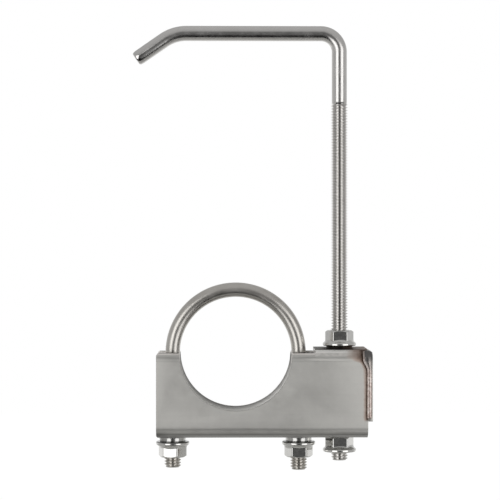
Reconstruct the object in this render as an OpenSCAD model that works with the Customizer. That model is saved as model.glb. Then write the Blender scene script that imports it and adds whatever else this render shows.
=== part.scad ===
// Adjustable hanger clamp for a round pipe, in millimetres.
// The origin is the centre of the pipe, X runs to the hanger rod, Y runs along the pipe
// and Z runs up.

/* [Pipe] */
// Outside diameter of the pipe that the clamp goes round
pipe_diameter = 63.5; // [61:0.1:66]
// Room between the pipe and the metal round it
pipe_room = 0.05; // [0.02:0.01:0.1]

/* [Saddle] */
// Thickness of the saddle's sheet
sheet = 2; // [1.6:0.1:2.2]
// Depth of the saddle from its front face to its back face
saddle_depth = 30; // [28:0.5:34]
// Height of the upper lips above the pipe's centre
saddle_top = 0.4; // [0.2:0.1:1]
// Depth of the underside below the pipe's centre
saddle_bottom = 47.5; // [45:0.5:52]
// Distance from the pipe's centre to the saddle's left end
saddle_left = 44.8; // [44:0.1:50]
// Distance from the pipe's centre to the saddle's right end
saddle_right = 74.4; // [73:0.1:80]
// Outside radius of the two lower folds
lower_fold = 6.3; // [5:0.1:6.8]
// Outside radius of the folds at the upper lips
lip_fold = 3.6; // [3:0.1:4.5]
// Distance that the cut ends of the lips stand back from the pipe
lip_setback = 0.3; // [0.1:0.1:0.8]
// Width of the slot left between the two upper lips
lip_slot = 11.2; // [10.6:0.1:14]
// Rounding of the corners at the left end, seen from the front
corner_round = 1.6; // [0.5:0.1:3]
// Small bevel along the edges of the pipe seat
seat_bevel = 0.4; // [0.2:0.1:0.8]

/* [Closed end of the saddle] */
// Distance from the pipe's centre to the start of the closed part
closed_start = 45; // [43:0.1:47]
// Outside radius of the fold that carries the upper layer
closed_fold = 6.5; // [5:0.1:8]
// Gap left between the two overlapping layers
layer_gap = 0.1; // [0.05:0.05:0.3]
// Width of sheet left between the rod's hole and the free edge of the lower layer
under_layer_rim = 1.2; // [0.6:0.1:2]
// Distance that the upper layer stops short of the back face
over_layer_short = 0.3; // [0:0.1:1]

/* [Holes and collars] */
// Clearance hole for the U-bolt legs and the hanger rod
hole_diameter = 10.4; // [10.1:0.1:11]
// Outside diameter of the drawn collars
collar_diameter = 15.3; // [14:0.1:16]
// Amount that a collar narrows towards its free end
collar_taper = 0.6; // [0.2:0.1:1]
// Height of the collars under the web
leg_collar_height = 3; // [2:0.1:4]
// Height of the collar on top of the closed part
rod_collar_height = 1.5; // [1:0.1:2.5]
// Flare at the entry of each hole
hole_flare = 0.9; // [0.4:0.1:1.2]

/* [End plate and weld] */
// Thickness of the end plate
plate_thickness = 2.6; // [2:0.1:3.5]
// Height of the end plate's upper edge above the pipe's centre
plate_top = 1; // [0.2:0.1:1.6]
// Depth of the end plate's lower edge below the pipe's centre
plate_bottom = 37.9; // [34:0.1:40]
// Radius of the end plate's upper corners
plate_corner = 5; // [4:0.1:6]
// Radius of the back weld bead
bead_radius = 1.3; // [0.8:0.1:1.6]
// Radius of the front weld bead
front_bead_radius = 1.5; // [1:0.1:1.6]
// Distance that the front bead stands out from the seam over the plate's edge
front_bead_shift = 0.8; // [0:0.1:0.9]
// Radius of the round cap where the weld pool spread back over the saddle
cap_radius = 1.8; // [1.2:0.1:1.8]
// Distance from the seam back to the middle of that cap
cap_setback = 1.4; // [0.5:0.1:2]
// Angle of the cap's middle up the closed end's fold
cap_turn = 12; // [0:1:30]
// Depth of the cap's middle under the saddle's outer face
cap_sink = 0.15; // [0.1:0.05:0.2]
// Distance that a bead stops short of the plate's lower edge
bead_short = 1; // [0.5:0.1:4]

/* [Threads and nuts] */
// Outside diameter of the threads
thread_diameter = 9.525; // [9.4:0.005:9.6]
// Radial running room between a thread and its nut
thread_room = 0.05; // [0.03:0.01:0.08]
// Width of a nut across its flats
nut_flats = 14.2; // [13.6:0.1:14.6]
// Full height of a nut
nut_height = 8.8; // [8:0.1:9.6]
// Diameter of a nut's flange
flange_diameter = 19; // [18:0.1:20]
// Thickness of the flange at its rim
flange_rim = 1.6; // [1.2:0.1:2]
// Slope of the flange's upper side, in degrees
flange_slope = 30; // [24:1:34]
// Rounding bevel at the flange's edges
flange_bevel = 0.4; // [0.2:0.1:0.6]
// Amount that is rounded off each corner of a nut's hexagon
hex_corner_trim = 0.25; // [0.15:0.05:0.4]
// Height of the chamfer at the free end of a nut's hexagon
hex_chamfer = 0.9; // [0.6:0.1:1.2]
// Distance from the flats to the flat round face at a nut's free end
hex_face_trim = 0.3; // [0.2:0.1:0.6]
// Bevel at the two ends of a nut's thread
bore_bevel = 0.8; // [0.4:0.1:1.2]
// Turn of the left U-bolt nut away from facing front, in degrees
left_nut_turn = -10; // [-30:1:30]

/* [U-bolt] */
// Diameter of the U-bolt's plain bar
u_bar_diameter = 8.2; // [7.8:0.1:8.6]
// Depth of the left leg's end below the pipe's centre
u_left_end = 65.1; // [63:0.1:69]
// Depth of the right leg's end below the pipe's centre
u_right_end = 66.5; // [63:0.1:69]
// Length of thread on each leg
u_thread_length = 30; // [24:0.5:36]
// Bevel at the ends of the threads
thread_bevel = 1; // [0.6:0.1:1.4]

/* [Hanger rod] */
// Distance from the pipe's centre to the rod's axis
rod_offset = 59.2; // [58:0.1:61]
// Diameter of the rod's plain part
rod_bar_diameter = 8.6; // [8.2:0.1:9]
// Depth of the rod's lower end below the pipe's centre
rod_end = 61.2; // [59:0.1:70]
// Height of the top of the rod's thread
rod_thread_top = 143; // [120:0.5:150]
// Height of the level arm's centre line
arm_height = 182; // [175:0.5:195]
// Radius of the bend at the top of the rod, at its centre line
rod_bend = 10.5; // [9:0.1:14]
// Distance from the rod's axis to the start of the tip's bend
arm_length = 87.3; // [80:0.1:95]
// Radius of the tip's bend, at its centre line
tip_bend = 22.8; // [15:0.1:30]
// Droop of the tip below the level, in degrees
tip_droop = 34.7; // [20:0.1:45]
// Length of the straight part of the tip
tip_length = 19; // [12:0.1:30]
// Bevel at the tip's end
tip_bevel = 0.6; // [0.3:0.1:1]

/* [Hidden] */
$fn = 96;
half = saddle_depth / 2;
seat_radius = pipe_diameter / 2 + pipe_room;
leg_offset = seat_radius + u_bar_diameter / 2;
closed_top = saddle_top + layer_gap + sheet;
thread_radius = thread_diameter / 2;
nut_bore = thread_radius + thread_room;
// The tip is a hundredth slimmer than its bend and starts a little way inside it
tip_radius = 0.99 * rod_bar_diameter / 2;
tip_root = tip_bevel;
// How far a cutter runs past what it cuts
overrun = 1;
steel = [0.64, 0.64, 0.62];
bright = [0.78, 0.78, 0.78];
tinted = [0.49, 0.39, 0.35];

// A straight strip of sheet in the section, from its lower left to its upper right corner.
module strip(y0, z0, y1, z1) {
  translate([y0, z0])
    square([y1 - y0, z1 - z0]);
}

// A quarter ring of sheet in the section, opening away from the given side.
module fold(y, z, radius, side_y, side_z) {
  translate([y, z])
    intersection() {
      difference() {
        circle(r = radius);
        circle(r = radius - sheet);
      }
      translate([side_y > 0 ? 0 : -radius - overrun, side_z > 0 ? 0 : -radius - overrun])
        square(radius + overrun);
    }
}

// The web and the two lower folds, common to the whole length.
module web_section() {
  strip(-half + lower_fold, -saddle_bottom, half - lower_fold, -saddle_bottom + sheet);
  fold(-half + lower_fold, -saddle_bottom + lower_fold, lower_fold, -1, -1);
  fold(half - lower_fold, -saddle_bottom + lower_fold, lower_fold, 1, -1);
}

// One wall with its upper lip, on the side given by the sign.
module lip_wall_section(side, reach) {
  mirror([side > 0 ? 0 : 1, 0]) {
    strip(half - sheet, -saddle_bottom + lower_fold, half, saddle_top - lip_fold);
    fold(half - lip_fold, saddle_top - lip_fold, lip_fold, 1, 1);
    strip(reach, saddle_top - sheet, half - lip_fold, saddle_top);
  }
}

// Section of the open part: a channel with a lip turned in from each wall.
module open_section() {
  web_section();
  lip_wall_section(-1, lip_slot / 2);
  lip_wall_section(1, lip_slot / 2);
}

// Section of the closed part: the back wall's layer lies under the front wall's layer.
module closed_section() {
  web_section();
  lip_wall_section(1, -hole_diameter / 2 - under_layer_rim);
  strip(-half, -saddle_bottom + lower_fold, -half + sheet, closed_top - closed_fold);
  fold(-half + closed_fold, closed_top - closed_fold, closed_fold, -1, 1);
  strip(-half + closed_fold, closed_top - sheet, half - over_layer_short, closed_top);
}

// A section of sheet run along X from one place to another.
module run_along(x0, x1) {
  translate([x0, 0, 0])
    rotate([90, 0, 90])
      linear_extrude(height = x1 - x0)
        children();
}

// A collar drawn out of the sheet, standing on Z zero and pointing up.
module collar(height) {
  cylinder(h = height, d1 = collar_diameter, d2 = collar_diameter - collar_taper);
}

// A hole from below with a flared entry at its upper end.
module flared_hole(height) {
  cylinder(h = height, d = hole_diameter);
  translate([0, 0, height - hole_flare])
    cylinder(h = hole_flare + overrun, d1 = hole_diameter,
             d2 = hole_diameter + 2 * (hole_flare + overrun));
}

// What is taken away to round a corner of the left end, right way up for the top corner.
module corner_cut() {
  rotate([90, 0, 0])
    linear_extrude(height = saddle_depth + 2 * overrun, center = true)
      difference() {
        translate([-overrun, 0])
          square([corner_round + overrun, corner_round + overrun]);
        translate([corner_round, 0])
          circle(r = corner_round);
      }
}

module saddle() {
  color(steel)
    difference() {
      union() {
        run_along(-saddle_left, closed_start)
          open_section();
        run_along(closed_start, saddle_right)
          closed_section();
        for (side = [-1, 1])
          translate([side * leg_offset, 0, -saddle_bottom])
            mirror([0, 0, 1])
              collar(leg_collar_height);
        translate([rod_offset, 0, closed_top])
          collar(rod_collar_height);
      }
      rotate([90, 0, 0]) {
        cylinder(h = saddle_depth + 2 * overrun, r = seat_radius, center = true, $fn = 180);
        cylinder(h = saddle_depth - 2 * sheet, r = seat_radius + lip_setback, center = true,
                 $fn = 180);
      }
      for (side = [-1, 1])
        translate([0, side * (half - seat_bevel), 0])
          rotate([side > 0 ? -90 : 90, 0, 0])
            cylinder(h = seat_bevel + overrun, r1 = seat_radius,
                     r2 = seat_radius + seat_bevel + overrun, $fn = 180);
      for (side = [-1, 1])
        translate([side * leg_offset, 0, -saddle_bottom - leg_collar_height - overrun])
          flared_hole(leg_collar_height + sheet + overrun);
      translate([rod_offset, 0, -saddle_bottom - overrun])
        cylinder(h = sheet + 2 * overrun, d = hole_diameter);
      translate([rod_offset, 0, saddle_top - sheet - overrun])
        cylinder(h = 2 * sheet + layer_gap + rod_collar_height + 2 * overrun, d = hole_diameter);
      translate([-saddle_left, 0, saddle_top - corner_round])
        corner_cut();
      translate([-saddle_left, 0, -saddle_bottom + corner_round])
        mirror([0, 0, 1])
          corner_cut();
    }
}

module end_plate() {
  color(steel)
    translate([saddle_right, 0, 0])
      rotate([90, 0, 90])
        linear_extrude(height = plate_thickness) {
          strip(-half, -plate_bottom, half, plate_top - plate_corner);
          strip(-half + plate_corner, plate_top - plate_corner, half - plate_corner, plate_top);
          for (side = [-1, 1])
            translate([side * (half - plate_corner), plate_top - plate_corner])
              circle(r = plate_corner);
        }
}

// A straight length of bead standing on the outer face, with a round lower end.
module upright_bead(z0, z1, radius) {
  translate([0, 0, z0])
    cylinder(h = z1 - z0, r = radius, $fn = 48);
  translate([0, 0, z0])
    sphere(r = radius, $fn = 48);
}

// The front bead covers the seam and the plate's edge and goes on round the fold above them.
// At its head the weld pool has spread back over the saddle in a round cap.
module weld_front() {
  color(tinted)
    difference() {
      translate([saddle_right, -half, 0]) {
        translate([front_bead_shift, 0, 0]) {
          upright_bead(-plate_bottom + bead_short + front_bead_radius, closed_top - closed_fold,
                       front_bead_radius);
          translate([0, closed_fold, closed_top - closed_fold]) {
            rotate([0, 90, 0])
              rotate([0, 0, 180])
                rotate_extrude(angle = 90, $fn = 96)
                  translate([closed_fold, 0])
                    circle(r = front_bead_radius, $fn = 48);
            translate([0, 0, closed_fold])
              sphere(r = front_bead_radius, $fn = 48);
          }
        }
        translate([-cap_setback, closed_fold, closed_top - closed_fold])
          rotate([-cap_turn, 0, 0])
            translate([0, -closed_fold + cap_sink, 0])
              sphere(r = cap_radius, $fn = 96);
      }
      saddle();
      end_plate();
    }
}

module weld_back() {
  color(tinted)
    difference() {
      translate([saddle_right, half, 0]) {
        upright_bead(-plate_bottom + bead_short + bead_radius, saddle_top - lip_fold, bead_radius);
        translate([0, 0, saddle_top - lip_fold])
          sphere(r = bead_radius, $fn = 48);
      }
      saddle();
      end_plate();
    }
}

// A threaded bar at its outside diameter, hanging from Z zero. Its lower end is bevelled and
// its upper end runs out to the plain bar above it.
module threaded_bar(length, plain_radius) {
  translate([0, 0, -length])
    rotate_extrude()
      polygon([
        [0, 0],
        [thread_radius - thread_bevel, 0],
        [thread_radius, thread_bevel],
        [thread_radius, length - (thread_radius - plain_radius)],
        [plain_radius, length],
        [0, length]
      ]);
}

module u_leg(end) {
  translate([0, 0, -end + u_thread_length]) {
    cylinder(h = end - u_thread_length, d = u_bar_diameter);
    threaded_bar(u_thread_length, u_bar_diameter / 2);
  }
}

module u_bolt() {
  color(steel) {
    rotate([90, 0, 0])
      rotate_extrude(angle = 180, $fn = 144)
        translate([leg_offset, 0])
          circle(d = u_bar_diameter, $fn = 48);
    translate([-leg_offset, 0, 0])
      u_leg(u_left_end);
    translate([leg_offset, 0, 0])
      u_leg(u_right_end);
  }
}

// A flange nut standing on its bearing face, one flat towards the front.
module flange_nut() {
  corner_radius = nut_flats / 2 / cos(30);
  trimmed_radius = corner_radius - hex_corner_trim;
  // The flange's slope is carried on inwards, under the hexagon, as far as the trim of its corners
  cone_top = flange_rim + (flange_diameter / 2 - nut_flats / 2 + hex_face_trim) * tan(flange_slope);
  hex_foot = flange_rim / 2;
  color(bright)
    difference() {
      union() {
        rotate_extrude()
          polygon([
            [0, 0],
            [flange_diameter / 2 - flange_bevel, 0],
            [flange_diameter / 2, flange_bevel],
            [flange_diameter / 2, flange_rim],
            [nut_flats / 2 - hex_face_trim, cone_top],
            [0, cone_top]
          ]);
        intersection() {
          translate([0, 0, hex_foot])
            cylinder(h = nut_height - hex_foot, r = corner_radius, $fn = 6);
          rotate_extrude()
            polygon([
              [0, 0],
              [trimmed_radius, 0],
              [trimmed_radius, nut_height - hex_chamfer],
              [nut_flats / 2 - hex_face_trim, nut_height],
              [0, nut_height]
            ]);
        }
      }
      translate([0, 0, -overrun])
        cylinder(h = nut_height + 2 * overrun, r = nut_bore);
      translate([0, 0, -overrun])
        cylinder(h = bore_bevel + overrun, r1 = nut_bore + bore_bevel + overrun, r2 = nut_bore);
      translate([0, 0, nut_height - bore_bevel])
        cylinder(h = bore_bevel + overrun, r1 = nut_bore, r2 = nut_bore + bore_bevel + overrun);
    }
}

module u_nut_left() {
  translate([-leg_offset, 0, -saddle_bottom - leg_collar_height])
    rotate([180, 0, left_nut_turn])
      flange_nut();
}

module u_nut_right() {
  translate([leg_offset, 0, -saddle_bottom - leg_collar_height])
    rotate([180, 0, 0])
      flange_nut();
}

module hanger_rod() {
  color(bright)
    translate([rod_offset, 0, 0]) {
      translate([0, 0, rod_thread_top]) {
        threaded_bar(rod_thread_top + rod_end, rod_bar_diameter / 2);
        cylinder(h = arm_height - rod_bend - rod_thread_top, d = rod_bar_diameter);
      }
      translate([-rod_bend, 0, arm_height - rod_bend])
        rotate([90, 0, 0])
          rotate_extrude(angle = 90, $fn = 96)
            translate([rod_bend, 0])
              circle(d = rod_bar_diameter, $fn = 48);
      translate([-arm_length, 0, arm_height])
        rotate([0, 90, 0])
          cylinder(h = arm_length - rod_bend, d = rod_bar_diameter);
      translate([-arm_length, 0, arm_height - tip_bend]) {
        rotate([90, 0, 0])
          rotate([0, 0, 90])
            rotate_extrude(angle = tip_droop, $fn = 144)
              translate([tip_bend, 0])
                circle(d = rod_bar_diameter, $fn = 48);
        rotate([0, -tip_droop, 0])
          translate([tip_root, 0, tip_bend])
            rotate([0, -90, 0])
              rotate_extrude()
                polygon([
                  [0, 0],
                  [tip_radius, 0],
                  [tip_radius, tip_root + tip_length - tip_bevel],
                  [tip_radius - tip_bevel, tip_root + tip_length],
                  [0, tip_root + tip_length]
                ]);
      }
    }
}

module rod_nut_upper() {
  translate([rod_offset, 0, closed_top + rod_collar_height])
    flange_nut();
}

module rod_nut_lower() {
  translate([rod_offset, 0, -saddle_bottom - nut_height])
    flange_nut();
}

saddle();
end_plate();
weld_front();
weld_back();
u_bolt();
u_nut_left();
u_nut_right();
hanger_rod();
rod_nut_upper();
rod_nut_lower();
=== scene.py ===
import math

import bmesh
import bpy
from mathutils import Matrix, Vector


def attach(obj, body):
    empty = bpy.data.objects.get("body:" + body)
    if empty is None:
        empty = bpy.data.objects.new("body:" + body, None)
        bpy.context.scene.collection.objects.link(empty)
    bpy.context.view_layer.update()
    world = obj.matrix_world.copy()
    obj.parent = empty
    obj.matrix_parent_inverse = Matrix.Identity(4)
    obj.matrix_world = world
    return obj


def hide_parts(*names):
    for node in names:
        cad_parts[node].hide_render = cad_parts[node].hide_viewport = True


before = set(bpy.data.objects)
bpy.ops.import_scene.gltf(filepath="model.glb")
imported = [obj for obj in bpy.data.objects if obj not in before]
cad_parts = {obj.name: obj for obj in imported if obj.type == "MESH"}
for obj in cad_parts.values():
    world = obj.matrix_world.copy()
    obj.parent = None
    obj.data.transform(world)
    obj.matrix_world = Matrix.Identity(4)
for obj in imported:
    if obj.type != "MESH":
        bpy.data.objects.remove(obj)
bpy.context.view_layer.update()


# Saddle: the body of the clamp, a channel folded from 2 mm stainless sheet. Its upper edges are turned in
# as lips, a half-round seat is cut across it for the pipe, and its right end is folded shut in two layers.
# The holes are drawn into short collars. The sheet keeps the satin skin of cold-rolled stock.

# sizes are in millimetres from the pipe's centre, as everywhere in this script
sheet_edge = 0.14      # what tumbling has rubbed off the sheet's cut edges
seat_radius = 31.8
inner_face = 13.0      # from the middle to the inside of either wall
weld_toe = 73.7        # where the front weld's edge lies on the wall
head_toe = 71.2        # and where it lies at the weld's head


def linear(hex_colour):
    """An sRGB hex colour as linear red, green, blue and alpha."""
    parts = [int(hex_colour[i:i + 2], 16) / 255 for i in (1, 3, 5)]
    return [p / 12.92 if p <= 0.04045 else ((p + 0.055) / 1.055) ** 2.4 for p in parts] + [1.0]


def per_mm(size):
    """The scale at which a pattern on Object coordinates, in metres, has features of that many millimetres."""
    return 1000 / size


def add(tree, kind, inputs=None, **settings):
    """Adds a node with its settings, and gives each input a value or a link from an output."""
    node = tree.nodes.new(kind)
    for name, value in settings.items():
        setattr(node, name, value)
    for key, value in (inputs or {}).items():
        if isinstance(value, bpy.types.NodeSocket):
            tree.links.new(value, node.inputs[key])
        else:
            node.inputs[key].default_value = value
    return node


def new_finish(name, roughness):
    """A bare metal: its material, node tree and Principled shader, and its Object coordinates."""
    material = bpy.data.materials.new(name)
    material.use_nodes = True
    tree = material.node_tree
    shader = tree.nodes["Principled BSDF"]
    shader.inputs["Metallic"].default_value = 1.0
    shader.inputs["Roughness"].default_value = roughness
    return material, tree, shader, add(tree, "ShaderNodeTexCoord").outputs["Object"]


def settle(rough, name):
    """The evaluated shape of an object as a plain mesh piece at the origin. The object itself goes."""
    graph = bpy.context.evaluated_depsgraph_get()
    graph.update()
    mesh = bpy.data.meshes.new_from_object(rough.evaluated_get(graph), depsgraph=graph)
    mesh.name = name
    bpy.data.objects.remove(rough)
    piece = bpy.data.objects.new(name, mesh)
    bpy.context.scene.collection.objects.link(piece)
    return piece


def worn_copy(node_name, name, edge_mm):
    """A CAD node's own shape as a piece, with whole flat faces and its sharp edges slightly rubbed down."""
    shape = bmesh.new()
    shape.from_mesh(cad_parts[node_name].data)
    bmesh.ops.remove_doubles(shape, verts=shape.verts, dist=1e-6)
    bmesh.ops.dissolve_limit(shape, angle_limit=math.radians(0.4), verts=shape.verts, edges=shape.edges)
    mesh = bpy.data.meshes.new(name)
    shape.to_mesh(mesh)
    shape.free()
    for face in mesh.polygons:
        face.use_smooth = True
    rough = bpy.data.objects.new(name + "_unworn", mesh)
    bpy.context.scene.collection.objects.link(rough)
    bevel = rough.modifiers.new("rubbed_edges", "BEVEL")
    bevel.width = edge_mm / 1000
    bevel.segments = 2
    bevel.limit_method = "ANGLE"
    bevel.angle_limit = math.radians(35)
    bevel.harden_normals = True
    return settle(rough, name)


def finish_piece(piece, material, body, slot, *nodes):
    """Gives a piece its material, parents it to the body it moves with, and hides the CAD nodes it stands in for.
    """
    piece.data.materials.clear()
    piece.data.materials.append(material)
    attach(piece, body)
    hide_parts(*nodes)


def axis(tree, where, name):
    """One of the coordinates, in metres."""
    return add(tree, "ShaderNodeSeparateXYZ", {"Vector": where}).outputs[name]


def maths(tree, operation, *values):
    """The result of a Math node on values or outputs."""
    return add(tree, "ShaderNodeMath", dict(enumerate(values)), operation=operation).outputs[0]


def spread_over(tree, value, low, high, start, end, smooth="SMOOTHSTEP"):
    """Takes a value from one range to another, held at both ends."""
    return add(tree, "ShaderNodeMapRange", {"Value": value, "From Min": low, "From Max": high,
                                            "To Min": start, "To Max": end},
               interpolation_type=smooth).outputs["Result"]


def mix_colours(tree, factor, first, second):
    """The first colour, going over to the second with the factor."""
    return add(tree, "ShaderNodeMix", {0: factor, 6: first, 7: second}, data_type="RGBA").outputs[2]


def noise(tree, where, size_mm, detail=3.0, roughness=0.5):
    """Noise with features of a size in millimetres."""
    return add(tree, "ShaderNodeTexNoise", {"Vector": where, "Scale": per_mm(size_mm), "Detail": detail,
                                            "Roughness": roughness}).outputs["Fac"]


def colour_run(tree, factor, stops):
    """Colours run along a factor, each stop being a place and an sRGB colour."""
    run = add(tree, "ShaderNodeValToRGB", {"Fac": factor})
    ramp = run.color_ramp
    ramp.elements[0].position, ramp.elements[1].position = stops[0][0], stops[-1][0]
    ramp.elements[0].color, ramp.elements[1].color = linear(stops[0][1]), linear(stops[-1][1])
    for place, colour in stops[1:-1]:
        ramp.elements.new(place).color = linear(colour)
    return run.outputs["Color"]


def roughen(tree, shader, height, strength, depth_mm):
    """Bumps a shader's surface by a height."""
    bump = add(tree, "ShaderNodeBump", {"Height": height, "Strength": strength, "Distance": depth_mm / 1000})
    tree.links.new(bump.outputs["Normal"], shader.inputs["Normal"])


def heat_tint(tree, where, base):
    """Lays the browns that welding leaves on stainless steel over a colour, away from the weld's toe."""
    x, z = axis(tree, where, "X"), axis(tree, where, "Z")
    toe = spread_over(tree, z, -0.0095, -0.0027, weld_toe / 1000, head_toe / 1000)
    away = maths(tree, "SUBTRACT", toe, x)
    # the tint reaches 2.4 mm from the bead, and 10 mm on the fold, where the torch stayed longest
    reach = spread_over(tree, z, -0.0056, -0.0020, 0.0024, 0.0100)
    share = maths(tree, "DIVIDE", away, reach)
    # its rim wanders in lobes 2 mm wide
    share = maths(tree, "MULTIPLY_ADD", noise(tree, where, 2.0), 0.4, share)
    share = maths(tree, "SUBTRACT", share, 0.2)
    browns = colour_run(tree, share, ((0.0, "#58473E"), (0.08, "#796A60"), (0.18, "#8C7C72"), (0.31, "#A99990"),
                                      (0.7, "#BCAFA5"), (1.0, "#CDC9C5")))
    fade = spread_over(tree, share, 0.3, 1.15, 1.0, 0.0)
    # it ends with the bead, 37 mm down
    fade = maths(tree, "MULTIPLY", fade, spread_over(tree, z, -0.0385, -0.0365, 0.0, 1.0))
    return mix_colours(tree, fade, base, browns)


# Cold-rolled stainless sheet: a satin skin with a faint cloudy grain along the sheet, which blurs what it
# mirrors. The inner walls are painted lighter, with painted shade towards the seat's rim; painted shade and
# highlight bands run along the folds, painted highlights lie on the bends, the lips' tops carry a painted dark
# reflection, the drawn collars are burnished, and the top by the rod has heat tint and painted shade under the nut.
satin_sheet, tree, shader, where = new_finish("satin_cold_rolled_stainless", 0.55)
cloud = noise(tree, where, 9.0, 5.0, 0.6)
# rolling leaves grain lines about 0.25 mm wide and 6 mm long, and broader streaks among them
stretch = add(tree, "ShaderNodeMapping", {"Vector": where, "Scale": (1 / 24, 1.0, 1.0)}).outputs[0]
streaks = maths(tree, "MULTIPLY", noise(tree, stretch, 1.4, 4.0, 0.6), 0.16)
tone = mix_colours(tree, maths(tree, "MULTIPLY_ADD", cloud, 0.84, streaks), linear("#B4B2AE"), linear("#DAD9D5"))
x, y, z = (axis(tree, where, name) for name in "XYZ")
across = add(tree, "ShaderNodeCombineXYZ", {"X": x, "Z": z}).outputs[0]
from_pipe = add(tree, "ShaderNodeVectorMath", {0: across}, operation="LENGTH").outputs["Value"]
inside = maths(tree, "LESS_THAN", maths(tree, "ABSOLUTE", y), (inner_face + 0.2) / 1000)
# painted light: the inner walls are painted nearly white, against the shade inside the channel
tone = mix_colours(tree, inside, tone, linear("#F4F3F0"))
# painted shade: the inner walls darken towards the seat's rim
rim = spread_over(tree, from_pipe, seat_radius / 1000, (seat_radius + 2.4) / 1000, 0.75, 0.0, "LINEAR")
tone = mix_colours(tree, maths(tree, "MULTIPLY", rim, inside), tone, linear("#4A4845"))
# the lower fold, from the sheet's underside at -47.5 up to -37.5: two bands of painted shade with a painted
# highlight between them
up_fold = maths(tree, "MULTIPLY_ADD", noise(tree, stretch, 2.0), 0.0012, z)
up_fold = spread_over(tree, up_fold, -0.0469, -0.0369, 0.0, 1.0, "LINEAR")
painted_fold_bands = colour_run(tree, up_fold, ((0.0, "#C8C8C8"), (0.13, "#BCBCBC"), (0.19, "#B3B3B3"), (0.24, "#C8C8C8"),
                                       (0.30, "#E6E6E6"), (0.38, "#F8F8F8"), (0.43, "#F4F4F4"), (0.47, "#E1E1E1"),
                                       (0.524, "#D4D4D4"), (0.58, "#E9E9E9"), (0.64, "#F8F8F8"), (1.0, "#FFFFFF")))
tone = add(tree, "ShaderNodeMix", {0: 1.0, 6: tone, 7: painted_fold_bands}, data_type="RGBA",
           blend_type="MULTIPLY").outputs[2]
# the upper folds, from -4.6 to -1.2: painted shade bands along them
up_fold = maths(tree, "MULTIPLY_ADD", noise(tree, stretch, 2.0), 0.0012, z)
up_fold = spread_over(tree, up_fold, -0.0040, -0.0006, 0.0, 1.0, "LINEAR")
painted_fold_bands = colour_run(tree, up_fold, ((0.0, "#FFFFFF"), (0.15, "#F4F4F4"), (0.26, "#F0F0F0"), (0.41, "#FAFAFA"),
                                       (0.59, "#E8E8E8"), (0.70, "#DADADA"), (0.85, "#F0F0F0"), (1.0, "#FFFFFF")))
tone = add(tree, "ShaderNodeMix", {0: 1.0, 6: tone, 7: painted_fold_bands}, data_type="RGBA",
           blend_type="MULTIPLY").outputs[2]
# painted shade on the saddle's lower left corner
left_corner_shade = maths(tree, "MULTIPLY", spread_over(tree, x, -0.0445, -0.036, 0.5, 0.0),
                    spread_over(tree, z, -0.0460, -0.0425, 1.0, 0.0))
tone = mix_colours(tree, left_corner_shade, tone, linear("#4A4845"))
# painted highlights on the bends, just under the lips' level tops and all over the closed part's fold
closed = spread_over(tree, x, 0.044, 0.045, 0.0, 1.0)
lip_bend = maths(tree, "MULTIPLY", spread_over(tree, z, -0.0009, -0.0001, 0.0, 0.9),
                 spread_over(tree, z, 0.00028, 0.00038, 1.0, 0.0))
closed_bend = maths(tree, "MULTIPLY", spread_over(tree, z, -0.0018, -0.0004, 0.0, 0.40),
                    spread_over(tree, z, 0.0006, 0.0020, 1.0, 0.0))
closed_bend = maths(tree, "MULTIPLY", closed_bend, spread_over(tree, noise(tree, where, 3.0), 0.35, 0.65, 0.4, 1.2))
bend = add(tree, "ShaderNodeMix", {0: closed, 2: lip_bend, 3: closed_bend}).outputs[0]
tone = mix_colours(tree, bend, tone, linear("#F8F4F0"))
# painted shade on the lips' level tops: a dark reflection, darkest where they run up to the closed part
lip_top = maths(tree, "MULTIPLY", spread_over(tree, z, 0.00028, 0.00038, 0.0, 1.0),
                maths(tree, "SUBTRACT", 1.0, closed))
lip_top_shade = mix_colours(tree, spread_over(tree, x, 0.035, 0.038, 0.0, 1.0), linear("#777572"), linear("#161514"))
tone = mix_colours(tree, lip_top, tone, lip_top_shade)
tone = heat_tint(tree, where, tone)
# the closed part's top: painted shade, darkest under the upper rod nut, going over to heat tint by the weld
along_top = spread_over(tree, x, 0.045, 0.074, 0.0, 1.0, "LINEAR")
nut_shade_and_heat_tint = colour_run(tree, along_top, ((0.0, "#6E6C68"), (0.25, "#3C3936"), (0.5, "#262321"), (0.72, "#54473F"),
                                        (1.0, "#85766B")))
tone = mix_colours(tree, spread_over(tree, z, 0.0018, 0.0024, 0.0, 1.0), tone, nut_shade_and_heat_tint)
tree.links.new(tone, shader.inputs["Base Color"])
drawn_neck = spread_over(tree, z, -0.0482, -0.0477, 1.0, 0.0)
blur = spread_over(tree, cloud, 0.3, 0.7, 0.52, 0.60)
tree.links.new(add(tree, "ShaderNodeMix", {0: drawn_neck, 2: blur, 3: 0.14}).outputs[0],
               shader.inputs["Roughness"])
roughen(tree, shader, noise(tree, stretch, 0.25), 0.12, 0.02)

saddle_sheet = worn_copy("saddle", "saddle_sheet", sheet_edge)
finish_piece(saddle_sheet, satin_sheet, "saddle", "saddle_steel", "saddle")


# End plate: a flat piece of 2.6 mm stainless plate with its two upper corners rounded. It closes the right
# end of the channel and is welded on along its two upright edges. It is sheared, so its edges are sharp.

plate_edge = 0.2       # what deburring has taken off its edges, in millimetres

# Sheared stainless plate: duller than the sheet, with a grey oxide where the weld's heat reached its top.
plate_skin, tree, shader, where = new_finish("dull_sheared_stainless_plate", 0.38)
tone = mix_colours(tree, noise(tree, where, 5.0, 5.0, 0.65), linear("#A9A7A2"), linear("#BFBDB8"))
scorch = spread_over(tree, axis(tree, where, "Z"), -0.009, -0.001, 0.0, 1.0)
tone = mix_colours(tree, scorch, tone, linear("#7A7876"))
tree.links.new(tone, shader.inputs["Base Color"])
roughen(tree, shader, noise(tree, where, 0.6), 0.2, 0.04)

end_plate_cut = worn_copy("end_plate", "end_plate_cut", plate_edge)
finish_piece(end_plate_cut, plate_skin, "saddle", "plate_steel", "end_plate")


# Weld beads: two runs of stainless weld metal, laid up the front and the back edge of the end plate. The
# front one covers the plate's whole edge, goes on over the fold, and spreads back over the saddle at its
# head. Each puddle froze over the last one in a fine ripple, and the heat left the metal pink and grey.

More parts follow.
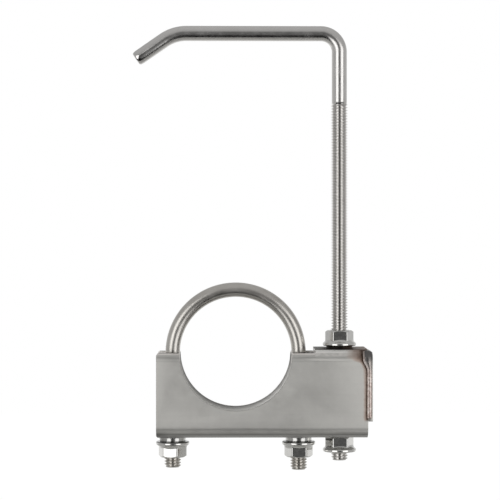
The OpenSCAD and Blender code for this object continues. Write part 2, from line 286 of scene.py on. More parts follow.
front_bead_x = 75.2
front_bead = 1.5       # half its width, and how far it stands out
back_bead_x = 74.4
back_bead = 1.3
ripple_spacing = 0.8   # the welder's step from one puddle to the next
ripple_depth = 0.045
ridge_x = 74.4         # the last pass stands up as a thin ridge along the left of the front bead
ridge = 0.65           # half its width
bead_short = 36.9      # how far down both beads reach
half_depth = 15.0
front_fold = 6.5       # outside radius of the fold that the front bead follows
front_fold_z = -4.0
front_fold_turn = 62   # how far round it the bead goes
back_bead_top = -3.2


def new_tree(name, inputs):
    """A Geometry Nodes tree with named inputs. Returns it with its input node."""
    tree = bpy.data.node_groups.new(name, "GeometryNodeTree")
    tree.interface.new_socket("Geometry", in_out="OUTPUT", socket_type="NodeSocketGeometry")
    tree.interface.new_socket("Geometry", in_out="INPUT", socket_type="NodeSocketGeometry")
    for label, kind in inputs:
        tree.interface.new_socket(label, in_out="INPUT", socket_type=kind)
    return tree, add(tree, "NodeGroupInput")


def close_tree(tree, shape, material):
    """Ends a tree in Realize Instances and Set Material."""
    real = add(tree, "GeometryNodeRealizeInstances", {"Geometry": shape})
    made_of = add(tree, "GeometryNodeSetMaterial", {"Geometry": real.outputs[0], "Material": material})
    add(tree, "NodeGroupOutput", {"Geometry": made_of.outputs[0]})


def grow(tree, start, name, values):
    """A mesh grown by a Geometry Nodes tree from a start mesh, with each named input set to its value."""
    rough = bpy.data.objects.new(name + "_start", start)
    bpy.context.scene.collection.objects.link(rough)
    modifier = rough.modifiers.new(name, "NODES")
    modifier.node_group = tree
    for item in tree.interface.items_tree:
        if item.in_out == "INPUT" and item.name in values:
            modifier[item.identifier] = values[item.name]
    return settle(rough, name)


def path_mesh(name, points_mm):
    mesh = bpy.data.meshes.new(name)
    mesh.from_pydata([[c / 1000 for c in p] for p in points_mm],
                     [(i, i + 1) for i in range(len(points_mm) - 1)], [])
    return mesh


# Stainless weld metal: a smooth cast skin, tinted pink by the heat, with a grey oxide at the head.
weld_metal, tree, shader, where = new_finish("heat_tinted_weld_metal", 0.3)
pinks = colour_run(tree, noise(tree, where, 2.4, 4.0, 0.7),
                   ((0.30, "#A89891"), (0.45, "#C2B2AB"), (0.58, "#DACFC9"), (0.72, "#EFE8E4")))
head = maths(tree, "MULTIPLY_ADD", noise(tree, where, 2.0), 0.006, axis(tree, where, "Z"))
oxide = colour_run(tree, spread_over(tree, head, -0.006, 0.003, 0.0, 1.0, "LINEAR"),
                   ((0.0, "#B0A8A4"), (0.45, "#98938F"), (0.7, "#74716F"), (1.0, "#6C6A69")))
# painted highlight: the head's oxide is mostly kept off the thin ridge, so that it shows a light glint
toe = spread_over(tree, axis(tree, where, "Z"), -0.0095, -0.0027, weld_toe / 1000, head_toe / 1000)
off_ridge = spread_over(tree, maths(tree, "SUBTRACT", axis(tree, where, "X"), toe), 0.0007, 0.0016, 0.35, 1.0)
oxidised = maths(tree, "MULTIPLY", spread_over(tree, head, -0.009, -0.005, 0.0, 1.0), off_ridge)
tone = mix_colours(tree, oxidised, pinks, oxide)
tree.links.new(tone, shader.inputs["Base Color"])
roughen(tree, shader, noise(tree, where, 0.7), 0.12, 0.03)

# The tree sweeps a round bead along the path and sinks its skin behind each ripple's crest.
bead_tree, given = new_tree("rippled_bead", (
    ("Bead radius", "NodeSocketFloat"), ("Ripple spacing", "NodeSocketFloat"),
    ("Ripple depth", "NodeSocketFloat"), ("Middle X", "NodeSocketFloat"), ("Head shift", "NodeSocketFloat"),
    ("Head stretch", "NodeSocketFloat"), ("Material", "NodeSocketMaterial")))
line = add(bead_tree, "GeometryNodeMeshToCurve", {"Mesh": given.outputs["Geometry"]})
line = add(bead_tree, "GeometryNodeResampleCurve", {"Curve": line.outputs[0], "Length": 0.0001}, mode="LENGTH")
run = add(bead_tree, "GeometryNodeSplineParameter").outputs["Length"]
total = add(bead_tree, "GeometryNodeSplineLength").outputs["Length"]
nearest = maths(bead_tree, "MINIMUM", run, maths(bead_tree, "SUBTRACT", total, run))
share = maths(bead_tree, "DIVIDE", nearest, given.outputs["Bead radius"])
inward = maths(bead_tree, "SUBTRACT", 1.0, maths(bead_tree, "MINIMUM", share, 1.0))
dome = maths(bead_tree, "SUBTRACT", 1.0, maths(bead_tree, "POWER", inward, 2.0))
dome = maths(bead_tree, "MAXIMUM", maths(bead_tree, "SQRT", dome), 0.03)
size = maths(bead_tree, "MULTIPLY", dome, given.outputs["Bead radius"])
kept = add(bead_tree, "GeometryNodeStoreNamedAttribute", {"Geometry": line.outputs[0], "Name": "run",
                                                          "Value": run}, data_type="FLOAT", domain="POINT")
ring = add(bead_tree, "GeometryNodeCurvePrimitiveCircle", {"Resolution": 32, "Radius": 1.0})
swept = add(bead_tree, "GeometryNodeCurveToMesh", {"Curve": kept.outputs[0], "Profile Curve": ring.outputs[0],
                                                   "Scale": size, "Fill Caps": True})
# the pool's head is wider than the bead and lies off to one side
spot = add(bead_tree, "GeometryNodeInputPosition").outputs[0]
x, z = axis(bead_tree, spot, "X"), axis(bead_tree, spot, "Z")
headed = spread_over(bead_tree, z, -0.0095, -0.0027, 0.0, 1.0)
aside = maths(bead_tree, "SUBTRACT", x, given.outputs["Middle X"])
stretch = maths(bead_tree, "MULTIPLY", aside, maths(bead_tree, "SUBTRACT", given.outputs["Head stretch"], 1.0))
moved = maths(bead_tree, "MULTIPLY", maths(bead_tree, "ADD", stretch, given.outputs["Head shift"]), headed)
moved = add(bead_tree, "ShaderNodeCombineXYZ", {"X": moved}).outputs[0]
# each ripple is a crescent that trails at both edges of the bead
across = maths(bead_tree, "POWER", maths(bead_tree, "DIVIDE", aside, given.outputs["Bead radius"]), 2.0)
along = add(bead_tree, "GeometryNodeInputNamedAttribute", {"Name": "run"}, data_type="FLOAT").outputs[0]
phase = maths(bead_tree, "DIVIDE", along, given.outputs["Ripple spacing"])
phase = maths(bead_tree, "FRACT", maths(bead_tree, "MULTIPLY_ADD", across, 0.8, phase))
sunk = maths(bead_tree, "MULTIPLY", spread_over(bead_tree, phase, 0.0, 0.8, -1.0, 0.0),
             given.outputs["Ripple depth"])
inward = add(bead_tree, "ShaderNodeVectorMath", {0: add(bead_tree, "GeometryNodeInputNormal").outputs[0],
                                                 "Scale": sunk}, operation="SCALE").outputs[0]
offset = add(bead_tree, "ShaderNodeVectorMath", {0: moved, 1: inward}, operation="ADD").outputs[0]
rippled = add(bead_tree, "GeometryNodeSetPosition", {"Geometry": swept.outputs[0], "Offset": offset})
close_tree(bead_tree, rippled.outputs[0], given.outputs["Material"])


def on_skin(x, height, out):
    """A point off the front wall's skin, at a height measured along it, over the fold too."""
    turn = max(0.0, height - front_fold_z) / front_fold
    return (x, -half_depth + front_fold - (front_fold + out) * math.cos(turn),
            min(height, front_fold_z) + (front_fold + out) * math.sin(turn))


front_end = front_fold_z + front_fold * math.radians(front_fold_turn)
front_path = [on_skin(front_bead_x, -bead_short + (front_end + bead_short) * i / 80, -0.6) for i in range(81)]
# the ridge leans left with the weld's toe, and ends a little short of the bead
ridge_path = []
for i in range(77):
    height = -bead_short + 0.5 + i / 2
    lean = min(1.0, max(0.0, (height + 9.5) / 6.8))
    lean = lean * lean * (3 - 2 * lean)
    ridge_path.append(on_skin(ridge_x + (head_toe + ridge + 0.1 - ridge_x) * lean, height, 0.55))
back_path = [(back_bead_x, half_depth - 0.02, -bead_short),
             (back_bead_x, half_depth - 0.02, back_bead_top + back_bead)]
# at its head the front bead reaches from the plate's outer face back to the toe on the saddle
head_stretch = (front_bead_x + front_bead - head_toe) / (2 * front_bead)
head_shift = (head_toe - (front_bead_x - front_bead)) / 2
runs = {}
for name, path, radius, middle, shift, stretch in (
        ("front_weld_bead", front_path, front_bead, front_bead_x, head_shift, head_stretch),
        ("front_weld_ridge", ridge_path, ridge, ridge_x, 0.0, 1.0),
        ("back_weld_bead", back_path, back_bead, back_bead_x, 0.0, 1.0)):
    runs[name] = grow(bead_tree, path_mesh(name + "_path", path), name, {
        "Bead radius": radius / 1000, "Ripple spacing": ripple_spacing / 1000,
        "Ripple depth": ripple_depth / 1000, "Middle X": middle / 1000, "Head shift": shift / 1000,
        "Head stretch": stretch, "Material": weld_metal})
both_passes = bmesh.new()
both_passes.from_mesh(runs["front_weld_bead"].data)
both_passes.from_mesh(runs["front_weld_ridge"].data)
both_passes.to_mesh(runs["front_weld_bead"].data)
both_passes.free()
bpy.data.objects.remove(runs["front_weld_ridge"])
for name, node in (("front_weld_bead", "weld_front"), ("back_weld_bead", "weld_back")):
    for face in runs[name].data.polygons:
        face.use_smooth = True
    finish_piece(runs[name], weld_metal, "saddle", "weld_metal", node)


# U-bolt: a bar of 8.2 mm stainless wire bent round the pipe, with 30 mm of rolled thread on each leg. Rolling
# raises the thread's crests above the bar. The bar is drawn, so faint die lines run along it.

u_leg_x = 35.9         # from the pipe's centre to each leg's axis
u_bar = 4.1            # the bar's radius
u_left_end = -65.1
u_right_end = -66.5
u_thread_length = 30.0
crest_radius = 4.7625  # a 3/8 inch coarse thread
root_radius = 3.79
thread_pitch = 1.5875  # 16 turns to the inch
end_bevel = 1.0
run_out = 2.4          # the height over which the thread fades into the plain bar
round_steps = 48       # corners round a bar, and steps in each turn of its thread, so that the two meet


def place_on_bend(centre_x, centre_z, bend, radius, angle, turn):
    """A point on the skin of a bar bent upright about a centre, in metres. Turn zero is on the right."""
    reach = bend + radius * math.cos(turn)
    return ((centre_x + reach * math.cos(angle)) / 1000, radius * math.sin(turn) / 1000,
            (centre_z + reach * math.sin(angle)) / 1000)


def ring_at(put):
    """One ring of a bar's skin, each corner put where the given rule says."""
    return [put(2 * math.pi * i / round_steps) for i in range(round_steps)]


def add_skin(shape, rings):
    """Joins a row of rings with faces."""
    rows = [[shape.verts.new(corner) for corner in ring] for ring in rings]
    for low, high in zip(rows, rows[1:]):
        for i in range(round_steps):
            j = (i + 1) % round_steps
            shape.faces.new((low[i], low[j], high[j], high[i]))


def weld_bar(shape, parts, name):
    """Joins a bar's skin to its threads, closes its ends, and gives each end the shallow cup of a rolled bar."""
    for part in parts:
        shape.from_mesh(part.data)
        bpy.data.objects.remove(part)
    bmesh.ops.remove_doubles(shape, verts=shape.verts, dist=2e-6)
    loose = [edge for edge in shape.edges if not edge.link_faces]
    bmesh.ops.delete(shape, geom=loose, context="EDGES")
    rims = [edge for edge in shape.edges if edge.is_boundary]
    caps = bmesh.ops.holes_fill(shape, edges=rims, sides=0)["faces"]
    bmesh.ops.recalc_face_normals(shape, faces=shape.faces)
    bmesh.ops.inset_region(shape, faces=caps, thickness=0.0008, depth=0.0)
    bmesh.ops.inset_region(shape, faces=caps, thickness=0.0007, depth=-0.0003)
    mesh = bpy.data.meshes.new(name)
    shape.to_mesh(mesh)
    shape.free()
    for face in mesh.polygons:
        face.use_smooth = True
    mesh.set_sharp_from_angle(angle=math.radians(28))
    piece = bpy.data.objects.new(name, mesh)
    bpy.context.scene.collection.objects.link(piece)
    return piece


# The tree lays one turn's profile along a helix, as a grid of five rows: root, root, crest, crest, root.
# Rows past either end are drawn back to it, where they meet in one clean ring.
thread_tree, given = new_tree("rolled_thread", (
    ("Axis X", "NodeSocketFloat"), ("Lower end", "NodeSocketFloat"), ("Upper end", "NodeSocketFloat"),
    ("Crest radius", "NodeSocketFloat"), ("Root radius", "NodeSocketFloat"), ("Pitch", "NodeSocketFloat"),
    ("End bevel", "NodeSocketFloat"), ("Bar radius", "NodeSocketFloat"), ("Run-out", "NodeSocketFloat"),
    ("Steps per turn", "NodeSocketFloat"), ("Material", "NodeSocketMaterial")))
span = add(thread_tree, "ShaderNodeMath", {0: given.outputs["Upper end"], 1: given.outputs["Lower end"]},
           operation="SUBTRACT")
turns = add(thread_tree, "ShaderNodeMath", {0: span.outputs[0], 1: given.outputs["Pitch"]}, operation="DIVIDE")
turns = add(thread_tree, "ShaderNodeMath", {0: turns.outputs[0], 1: 2.0}, operation="ADD")
steps = add(thread_tree, "ShaderNodeMath", {0: turns.outputs[0], 1: given.outputs["Steps per turn"]},
            operation="MULTIPLY")
steps = add(thread_tree, "ShaderNodeMath", {0: steps.outputs[0]}, operation="CEIL")
rows = add(thread_tree, "ShaderNodeMath", {0: steps.outputs[0], 1: 1.0}, operation="ADD")
grid = add(thread_tree, "GeometryNodeMeshGrid", {"Size X": steps.outputs[0], "Size Y": 4.0,
                                                 "Vertices X": rows.outputs[0], "Vertices Y": 5})
flat = add(thread_tree, "ShaderNodeSeparateXYZ",
           {"Vector": add(thread_tree, "GeometryNodeInputPosition").outputs[0]})
step = add(thread_tree, "ShaderNodeMath", {0: steps.outputs[0], 1: 0.5, 2: flat.outputs["X"]},
           operation="MULTIPLY_ADD")
step = add(thread_tree, "ShaderNodeMath", {0: step.outputs[0]}, operation="ROUND")
row = add(thread_tree, "ShaderNodeMath", {0: flat.outputs["Y"], 1: 2.0}, operation="ADD")
row = add(thread_tree, "ShaderNodeMath", {0: row.outputs[0]}, operation="ROUND")
# a sixty-degree thread: a sixth of the pitch is root, an eighth is crest, and the flanks take the rest
along = add(thread_tree, "GeometryNodeIndexSwitch", data_type="FLOAT")
for _ in range(3):
    along.index_switch_items.new()
thread_tree.links.new(row.outputs[0], along.inputs[0])
for i, share in enumerate((0.0, 0.167, 0.521, 0.646, 1.0)):
    along.inputs[1 + i].default_value = share
crest = add(thread_tree, "ShaderNodeMath", {0: row.outputs[0], 1: 2.5, 2: 0.6}, operation="COMPARE")
turned = add(thread_tree, "ShaderNodeMath", {0: step.outputs[0], 1: given.outputs["Steps per turn"]},
             operation="DIVIDE")
angle = add(thread_tree, "ShaderNodeMath", {0: turned.outputs[0], 1: 2 * math.pi}, operation="MULTIPLY")
rise = add(thread_tree, "ShaderNodeMath", {0: turned.outputs[0], 1: along.outputs[0]}, operation="ADD")
rise = add(thread_tree, "ShaderNodeMath", {0: rise.outputs[0], 1: 1.0}, operation="SUBTRACT")
height = add(thread_tree, "ShaderNodeMath", {0: rise.outputs[0], 1: given.outputs["Pitch"],
                                             2: given.outputs["Lower end"]}, operation="MULTIPLY_ADD")
height = add(thread_tree, "ShaderNodeClamp", {"Value": height.outputs[0], "Min": given.outputs["Lower end"],
                                              "Max": given.outputs["Upper end"]})
radius = add(thread_tree, "ShaderNodeMapRange", {"Value": crest.outputs[0],
                                                 "To Min": given.outputs["Root radius"],
                                                 "To Max": given.outputs["Crest radius"]})
cone = add(thread_tree, "ShaderNodeMath", {0: height.outputs[0], 1: given.outputs["Lower end"]},
           operation="SUBTRACT")
cone = add(thread_tree, "ShaderNodeMath", {0: cone.outputs[0], 1: given.outputs["Crest radius"]},
           operation="ADD")
cone = add(thread_tree, "ShaderNodeMath", {0: cone.outputs[0], 1: given.outputs["End bevel"]},
           operation="SUBTRACT")
radius = add(thread_tree, "ShaderNodeMath", {0: radius.outputs["Result"], 1: cone.outputs[0]},
             operation="MINIMUM")
fade_from = add(thread_tree, "ShaderNodeMath", {0: given.outputs["Upper end"], 1: given.outputs["Run-out"]},
                operation="SUBTRACT")
radius = add(thread_tree, "ShaderNodeMapRange", {"Value": height.outputs[0], "From Min": fade_from.outputs[0],
                                                 "From Max": given.outputs["Upper end"],
                                                 "To Min": radius.outputs[0],
                                                 "To Max": given.outputs["Bar radius"]},
             interpolation_type="SMOOTHSTEP")
cosine = add(thread_tree, "ShaderNodeMath", {0: angle.outputs[0]}, operation="COSINE")
sine = add(thread_tree, "ShaderNodeMath", {0: angle.outputs[0]}, operation="SINE")
at_x = add(thread_tree, "ShaderNodeMath", {0: cosine.outputs[0], 1: radius.outputs["Result"],
                                           2: given.outputs["Axis X"]}, operation="MULTIPLY_ADD")
at_y = add(thread_tree, "ShaderNodeMath", {0: sine.outputs[0], 1: radius.outputs["Result"]},
           operation="MULTIPLY")
spot = add(thread_tree, "ShaderNodeCombineXYZ", {"X": at_x.outputs[0], "Y": at_y.outputs[0],
                                                 "Z": height.outputs["Result"]})
wound = add(thread_tree, "GeometryNodeSetPosition", {"Geometry": grid.outputs["Mesh"],
                                                     "Position": spot.outputs[0]})
closed = add(thread_tree, "GeometryNodeMergeByDistance", {"Geometry": wound.outputs[0], "Distance": 2e-6})
close_tree(thread_tree, closed.outputs[0], given.outputs["Material"])

# Drawn stainless bar: brighter than the sheet, with fine die lines 0.6 mm apart that follow the bar round
# the bend. Rolling has burnished the threads.
drawn_bar, tree, shader, where = new_finish("drawn_stainless_bar", 0.3)
x, y, z = (axis(tree, where, name) for name in "XYZ")
flat = add(tree, "ShaderNodeCombineXYZ", {"X": x, "Z": maths(tree, "MAXIMUM", z, 0.0)}).outputs[0]
from_pipe = add(tree, "ShaderNodeVectorMath", {0: flat}, operation="LENGTH").outputs["Value"]
section = add(tree, "ShaderNodeCombineXYZ", {"X": from_pipe, "Y": y}).outputs[0]
lines = noise(tree, section, 0.6)
smear = noise(tree, where, 7.0, 4.0)
tree.links.new(mix_colours(tree, smear, linear("#BDB9B3"), linear("#D3D0CB")), shader.inputs["Base Color"])
threaded = spread_over(tree, z, -0.037, -0.033, 1.0, 0.0)
blur = spread_over(tree, smear, 0.3, 0.7, 0.27, 0.34)
tree.links.new(add(tree, "ShaderNodeMix", {0: threaded, 2: blur, 3: 0.22}).outputs[0],
               shader.inputs["Roughness"])
roughen(tree, shader, lines, 0.03, 0.02)

thread_sizes = {"Crest radius": crest_radius / 1000, "Root radius": root_radius / 1000,
                "Pitch": thread_pitch / 1000, "End bevel": end_bevel / 1000, "Run-out": run_out / 1000,
                "Steps per turn": float(round_steps)}
threads = []
for name, x, end in (("left_leg_thread", -u_leg_x, u_left_end), ("right_leg_thread", u_leg_x, u_right_end)):
    sizes = dict(thread_sizes)
    sizes.update({"Axis X": x / 1000, "Lower end": end / 1000, "Upper end": (end + u_thread_length) / 1000,
                  "Bar radius": u_bar / 1000, "Material": drawn_bar})
    threads.append(grow(thread_tree, bpy.data.meshes.new(name + "_start"), name, sizes))
bent = bmesh.new()
rings = [ring_at(lambda turn: ((u_leg_x + u_bar * math.cos(turn)) / 1000, u_bar * math.sin(turn) / 1000,
                               (u_right_end + u_thread_length) / 1000))]
for i in range(73):
    bend_angle = math.pi * i / 72
    rings.append(ring_at(lambda turn: place_on_bend(0, 0, u_leg_x, u_bar, bend_angle, turn)))
rings.append(ring_at(lambda turn: ((-u_leg_x - u_bar * math.cos(turn)) / 1000, u_bar * math.sin(turn) / 1000,
                                   (u_left_end + u_thread_length) / 1000)))
add_skin(bent, rings)
u_bolt_bar = weld_bar(bent, threads, "u_bolt_bar")
finish_piece(u_bolt_bar, drawn_bar, "u_bolt", "u_bolt_steel", "u_bolt")


# Flange nuts: four cold-formed stainless hexagon nuts, 14.2 mm across their flats, each with its washer made
# in one piece. Two draw the U-bolt down from under the saddle. Two hold the hanger rod, one on top of the
# saddle and one under it. They are barrel polished, so they mirror what is round them.

nut_flat = 7.1         # from the axis to a flat
nut_corner = 0.8       # rounding of the hexagon's upright corners
nut_height = 8.8
flange_radius = 9.5
flange_rim = 1.6
flange_slope = 30
nut_bore = 4.8125
bore_bevel = 0.8


def hexagon(angle):
    """The distance from the axis to the side of a hexagon with rounded corners, at an angle from a flat."""
    from_flat = abs((angle + math.pi / 6) % (math.pi / 3) - math.pi / 6)
    flat_end = math.atan((nut_flat - nut_corner) * math.tan(math.pi / 6) / nut_flat)
    if from_flat <= flat_end:
        return nut_flat / math.cos(from_flat)
    centre = (nut_flat - nut_corner) / math.cos(math.pi / 6)
    off = math.pi / 6 - from_flat
    return centre * math.cos(off) + math.sqrt(nut_corner ** 2 - (centre * math.sin(off)) ** 2)


def flange_nut(name, x, bearing_z, way, turn):
    """A nut with its bearing face at a height, its hexagon going up or down from there, turned in degrees."""
    side_angles = []
    flat_end = math.degrees(math.atan((nut_flat - nut_corner) * math.tan(math.pi / 6) / nut_flat))
    for side in range(6):
        for i in range(8):
            side_angles.append(60 * side - flat_end + 2 * flat_end * i / 8)
        for i in range(6):
            side_angles.append(60 * side + flat_end + (60 - 2 * flat_end) * i / 6)
    face_radius = nut_flat - 0.3
    top_corner = hexagon(math.pi / 6)
    slope = math.tan(math.radians(flange_slope))
    shape = bmesh.new()
    columns = []
    for degrees in side_angles:
        # the hexagon's flats face front and back
        angle = math.radians(degrees)
        edge = hexagon(angle)
        chamfer = nut_height - 0.9 * (edge - face_radius) / (top_corner - face_radius)
        foot = flange_rim + (flange_radius - edge) * slope
        profile = [
            (nut_bore, bore_bevel), (nut_bore, nut_height - bore_bevel),
            (nut_bore + bore_bevel, nut_height), (face_radius - 0.1, nut_height),
            (face_radius + 0.1, nut_height - 0.03),
            (edge - 0.10, chamfer + 0.05), (edge, chamfer - 0.10), (edge, chamfer - 0.25),
            (edge, foot + 0.95), (edge, foot + 0.80), (edge + 0.07, foot + 0.40),
            (edge + 0.25, foot + 0.08), (edge + 0.62, foot - 0.56 * slope),
            (flange_radius - 0.5, flange_rim + 0.5 * slope), (flange_radius - 0.2, flange_rim + 0.05),
            (flange_radius, flange_rim - 0.22), (flange_radius, 0.5), (flange_radius - 0.12, 0.2),
            (flange_radius - 0.4, 0.0), (nut_bore + bore_bevel, 0.0)]
        heading = angle - math.pi / 2 + math.radians(turn)
        columns.append([shape.verts.new(((x + r * math.cos(heading)) / 1000, r * math.sin(heading) / 1000,
                                         (bearing_z + way * z) / 1000)) for r, z in profile])
    for here, there in zip(columns, columns[1:] + columns[:1]):
        for i in range(len(here)):
            j = (i + 1) % len(here)
            shape.faces.new((here[i], here[j], there[j], there[i]))
    bmesh.ops.recalc_face_normals(shape, faces=shape.faces)
    mesh = bpy.data.meshes.new(name)
    shape.to_mesh(mesh)
    shape.free()
    for face in mesh.polygons:
        face.use_smooth = True
    mesh.set_sharp_from_angle(angle=math.radians(38))
    piece = bpy.data.objects.new(name, mesh)
    bpy.context.scene.collection.objects.link(piece)
    return piece


# Barrel-polished stainless steel: nearly a mirror, with dings about a millimetre apart from the barrel.
polished_nut, tree, shader, where = new_finish("barrel_polished_stainless", 0.11)
dings = noise(tree, where, 1.3)
tone = mix_colours(tree, dings, linear("#CAC9C6"), linear("#E0DFDC"))
# painted shade where the U-bolt nuts bear on the saddle's collars: a dark line at the joint
seam_shade = spread_over(tree, axis(tree, where, "Z"), -0.0511, -0.0506, 0.0, 0.8)
seam_shade = maths(tree, "MULTIPLY", seam_shade, maths(tree, "LESS_THAN", axis(tree, where, "Z"), -0.0504))
seam_shade = maths(tree, "MULTIPLY", seam_shade, maths(tree, "LESS_THAN", axis(tree, where, "X"), 0.048))
tree.links.new(mix_colours(tree, seam_shade, tone, linear("#2A2A28")), shader.inputs["Base Color"])
tree.links.new(spread_over(tree, dings, 0.35, 0.65, 0.08, 0.17), shader.inputs["Roughness"])
roughen(tree, shader, dings, 0.10, 0.04)

rod_x = 59.2
u_nut_z = -50.5        # under the saddle's collars
for name, node, body, x, z, way, turn in (
        ("left_u_nut", "u_nut_left", "u_nut_left", -u_leg_x, u_nut_z, -1, -10),
        ("right_u_nut", "u_nut_right", "u_nut_right", u_leg_x, u_nut_z, -1, 0),
        ("upper_rod_nut", "rod_nut_upper", "rod_nuts", rod_x, 4.0, 1, 0),
        ("lower_rod_nut", "rod_nut_lower", "rod_nuts", rod_x, -56.3, 1, 0)):
    nut = flange_nut(name, x, z, way, turn)
    finish_piece(nut, polished_nut, body, "nut_steel", node)


# Hanger rod: 8.6 mm bright stainless bar, threaded by rolling up to 143 mm above the pipe's centre, then bent
# to a level arm with a drooping tip that a rubber hanger slips over. The plain part is ground bright.

rod_bar = 4.3
rod_low = -61.2
rod_thread_top = 143.0
arm_z = 182.0
rod_bend = 10.5
tip_start_x = -28.1
tip_bend = 22.8
tip_droop = 34.7
tip_length = 19.0
tip_radius = 4.257

# Bright stainless bar: a smooth drawn skin that mirrors in long clean bands, slightly hazy from handling.
# Rolling has burnished its thread.
bright_bar, tree, shader, where = new_finish("bright_drawn_stainless_rod", 0.24)
haze = noise(tree, where, 6.0, 4.0)
tree.links.new(mix_colours(tree, haze, linear("#CDCBC8"), linear("#DDDBD9")), shader.inputs["Base Color"])
threaded = spread_over(tree, axis(tree, where, "Z"), 0.1415, 0.1435, 1.0, 0.0)
blur = spread_over(tree, haze, 0.3, 0.7, 0.21, 0.28)
# the rounded end of the tip is polished
worn = spread_over(tree, axis(tree, where, "X"), -0.0550, -0.0510, 0.4, 1.0)
blur = maths(tree, "MULTIPLY", blur, worn)
tree.links.new(add(tree, "ShaderNodeMix", {0: threaded, 2: blur, 3: 0.14}).outputs[0],
               shader.inputs["Roughness"])
roughen(tree, shader, noise(tree, where, 0.7), 0.04, 0.02)

sizes = dict(thread_sizes)
sizes.update({"Axis X": rod_x / 1000, "Lower end": rod_low / 1000, "Upper end": rod_thread_top / 1000,
              "Bar radius": rod_bar / 1000, "Material": bright_bar})
rod_thread = grow(thread_tree, bpy.data.meshes.new("rod_thread_start"), "rod_thread", sizes)
hook = bmesh.new()
rings = [ring_at(lambda turn: ((rod_x + rod_bar * math.cos(turn)) / 1000, rod_bar * math.sin(turn) / 1000,
                               rod_thread_top / 1000))]
for i in range(25):
    bend_angle = math.radians(90 * i / 24)
    rings.append(ring_at(lambda turn: place_on_bend(rod_x - rod_bend, arm_z - rod_bend, rod_bend, rod_bar,
                                                    bend_angle, turn)))
for i in range(17):
    bend_angle = math.radians(90 + tip_droop * i / 16)
    thickness = rod_bar + (tip_radius - rod_bar) * i / 16
    rings.append(ring_at(lambda turn: place_on_bend(tip_start_x, arm_z - tip_bend, tip_bend, thickness,
                                                    bend_angle, turn)))
drop = math.radians(tip_droop)
for run, thickness in ((tip_length - 2.6, tip_radius - 0.01), (tip_length - 1.3, tip_radius - 0.1),
                       (tip_length - 0.5, tip_radius - 0.38), (tip_length - 0.1, tip_radius - 0.68),
                       (tip_length, tip_radius - 1.05)):
    middle_x = tip_start_x - tip_bend * math.sin(drop) - run * math.cos(drop)
    middle_z = arm_z - tip_bend + tip_bend * math.cos(drop) - run * math.sin(drop)
    rings.append(ring_at(lambda turn: (
        (middle_x - thickness * math.cos(turn) * math.sin(drop)) / 1000, thickness * math.sin(turn) / 1000,
        (middle_z + thickness * math.cos(turn) * math.cos(drop)) / 1000)))
add_skin(hook, rings)
hanger_bar = weld_bar(hook, [rod_thread], "hanger_bar")
finish_piece(hanger_bar, bright_bar, "hanger_rod", "rod_steel", "hanger_rod")


# Studio: the clamp hangs a little above a white table whose front edge lies between it and the camera. Behind
# it all is white, for the camera and in what the metal mirrors. In front, where the camera never looks, the
# room is grey, with a tall soft box on either side of the camera.

table_z = -0.2
table_front = -0.13

table_mesh = bpy.data.meshes.new("table_top")
table_mesh.from_pydata([(-1.3, table_front, table_z), (1.3, table_front, table_z), (1.3, 1.6, table_z),
                        (-1.3, 1.6, table_z)], [], [(0, 1, 2, 3)])
table = bpy.data.objects.new("table_top", table_mesh)
bpy.context.scene.collection.objects.link(table)
# Matt white laminate: it scatters light evenly, and keeps the clamp's shadow.
laminate = bpy.data.materials.new("matt_white_laminate")
laminate.use_nodes = True
tree = laminate.node_tree
shader = tree.nodes["Principled BSDF"]
shader.inputs["Base Color"].default_value = linear("#B4B4B2")
shader.inputs["Roughness"].default_value = 0.9
rays = add(tree, "ShaderNodeLightPath")
# the far half is lit up as part of the background, and shows so in the metal too
far_half = spread_over(tree, axis(tree, add(tree, "ShaderNodeTexCoord").outputs["Object"], "Y"), 0.1, 0.7, 0.0, 1.0)
mirrored = maths(tree, "MULTIPLY", rays.outputs["Is Glossy Ray"], far_half)
seen = maths(tree, "MAXIMUM", rays.outputs["Is Camera Ray"], rays.outputs["Is Transmission Ray"])
share = maths(tree, "MULTIPLY", maths(tree, "MAXIMUM", seen, mirrored), 0.82)
white = add(tree, "ShaderNodeEmission", {"Color": linear("#FFFFFF"), "Strength": 1.13})
both = add(tree, "ShaderNodeMixShader", {0: share, 1: shader.outputs[0], 2: white.outputs[0]})
tree.links.new(both.outputs[0], tree.nodes["Material Output"].inputs["Surface"])
table_mesh.materials.append(laminate)

room = bpy.data.worlds.new("studio_room")
bpy.context.scene.world = room
room.use_nodes = True
tree = room.node_tree
background = tree.nodes["Background"]
way = add(tree, "ShaderNodeTexCoord").outputs["Generated"]
x, y, z = (axis(tree, way, name) for name in "XYZ")
heading = maths(tree, "ARCTAN2", x, maths(tree, "MULTIPLY", y, -1.0))
heading = maths(tree, "DIVIDE", maths(tree, "ABSOLUTE", heading), math.pi)
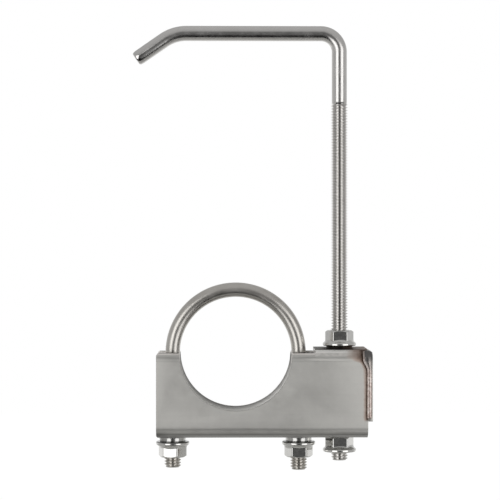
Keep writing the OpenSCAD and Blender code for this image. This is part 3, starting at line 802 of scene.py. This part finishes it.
# level with the clamp, from the camera's side round to the far side, each stop at its share of 180 degrees
walls = add(tree, "ShaderNodeValToRGB", {"Fac": heading})
ramp = walls.color_ramp
ramp.elements[0].color = (0.10, 0.10, 0.10, 1)
ramp.elements[1].color = (1.0, 1.0, 1.0, 1)
for place, level in ((0.04, 0.10), (0.10, 0.38), (0.30, 0.46), (0.42, 0.50), (0.60, 0.56), (0.75, 0.68),
                     (0.90, 0.85), (0.95, 1.0)):
    ramp.elements.new(place).color = (level, level, level, 1)
# overhead the room goes from grey to light, and below the table's edge the floor in front is dark
ceiling = spread_over(tree, z, 0.3, 1.0, 0.42, 0.55, "LINEAR")
lift = spread_over(tree, z, 0.15, 0.6, 0.0, 1.0)
room_level = add(tree, "ShaderNodeMix", {0: lift, 2: walls.outputs["Color"], 3: ceiling}).outputs[0]
room_level = maths(tree, "MULTIPLY", room_level, spread_over(tree, z, -0.58, -0.28, 0.06, 1.0))
rays = add(tree, "ShaderNodeLightPath")
plain = maths(tree, "MAXIMUM", rays.outputs["Is Diffuse Ray"], rays.outputs["Is Camera Ray"])
plain = maths(tree, "MAXIMUM", plain, rays.outputs["Is Transmission Ray"])
final = add(tree, "ShaderNodeMix", {0: plain, 2: room_level, 3: 1.0}).outputs[0]
tree.links.new(final, background.inputs["Strength"])
background.inputs["Color"].default_value = (1, 1, 1, 1)

for name, bearing, watts in (("left_soft_box", -35, 4.0), ("right_soft_box", 40, 3.7)):
    box = bpy.data.lights.new(name, "AREA")
    box.shape = "RECTANGLE"
    box.size = 0.76
    box.size_y = 1.2
    box.energy = watts
    lamp = bpy.data.objects.new(name, box)
    bpy.context.scene.collection.objects.link(lamp)
    bearing = math.radians(bearing)
    lamp.location = (1.25 * math.sin(bearing) + 0.01, -1.25 * math.cos(bearing), -0.05)
    lamp.rotation_euler = (Vector((0.01, 0, -0.05)) - lamp.location).to_track_quat("-Z", "Y").to_euler()

camera_data = bpy.data.cameras.new("camera")
camera_data.sensor_width = 36
camera_data.lens = 114.2
camera = bpy.data.objects.new("camera", camera_data)
bpy.context.scene.collection.objects.link(camera)
camera.location = (-0.007, -0.905, 0.0585)
camera.rotation_euler = (math.radians(90), 0, math.radians(-0.96))
bpy.context.scene.camera = camera
bpy.context.scene.view_settings.view_transform = "Standard"
